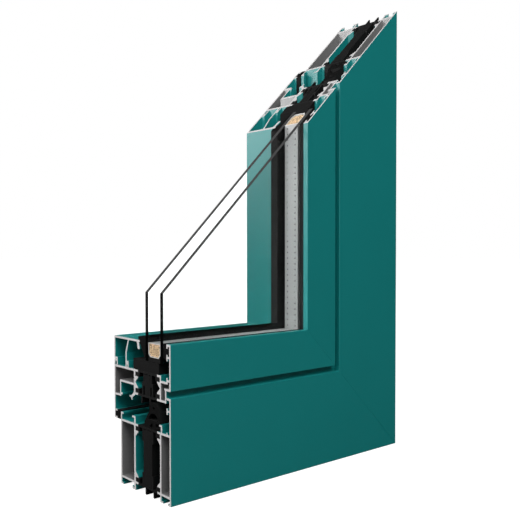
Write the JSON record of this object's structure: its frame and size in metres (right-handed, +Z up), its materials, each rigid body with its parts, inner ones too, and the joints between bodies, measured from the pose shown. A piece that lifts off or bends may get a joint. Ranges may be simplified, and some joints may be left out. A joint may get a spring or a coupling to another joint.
{
  "type": "cut corner sample of an aluminium window",
  "caption": "Corner of a thermally broken aluminium window, sawn open to show the frame, sash, gaskets, insulating bars and double glazing.",
  "frame": {"origin": "centre of the box around the part, on the floor that the rail stands on", "axes": "+Z up along the jamb, +X along the rail towards the mitred corner, -Y towards the outside face"},
  "size_m": [0.252, 0.08, 0.404],
  "materials": {
    "teal_coat": "satin powder coat",
    "polyamide": "matt black",
    "foam": "dull black foam",
    "rubber": "matt black",
    "glass": "clear",
    "spacer_metal": "satin",
    "desiccant": "grainy",
    "sealant": "matt black",
    "mill_aluminium": "mill finish"
  },
  "bodies": {
    "root": {"frame_outer_shell_rail": "teal_coat", "frame_outer_shell_jamb": "teal_coat", "frame_inner_shell_rail": "teal_coat", "frame_inner_shell_jamb": "teal_coat", "frame_upper_bar_rail": "polyamide", "frame_upper_bar_jamb": "polyamide", "frame_lower_bar_rail": "polyamide", "frame_lower_bar_jamb": "polyamide", "frame_core_rail": "foam", "frame_core_jamb": "foam", "centre_gasket_rail": "rubber", "centre_gasket_jamb": "rubber", "sash_outer_shell_rail": "teal_coat", "sash_outer_shell_jamb": "teal_coat", "sash_inner_shell_rail": "teal_coat", "sash_inner_shell_jamb": "teal_coat", "sash_upper_bar_rail": "polyamide", "sash_upper_bar_jamb": "polyamide", "sash_lower_bar_rail": "polyamide", "sash_lower_bar_jamb": "polyamide", "sash_core_rail": "foam", "sash_core_jamb": "foam", "glazing_bead_rail": "teal_coat", "glazing_bead_jamb": "teal_coat", "outer_gasket_rail": "rubber", "outer_gasket_jamb": "rubber", "inner_gasket_rail": "rubber", "inner_gasket_jamb": "rubber", "rebate_gasket_rail": "rubber", "rebate_gasket_jamb": "rubber", "rebate_strip_rail": "foam", "rebate_strip_jamb": "foam", "outer_pane": "glass", "inner_pane": "glass", "spacer": "spacer_metal", "desiccant": "desiccant", "edge_seal": "sealant", "frame_outer_cleat": "mill_aluminium", "frame_inner_cleat": "mill_aluminium", "sash_cleat": "mill_aluminium"}
  },
  "joints": []
}
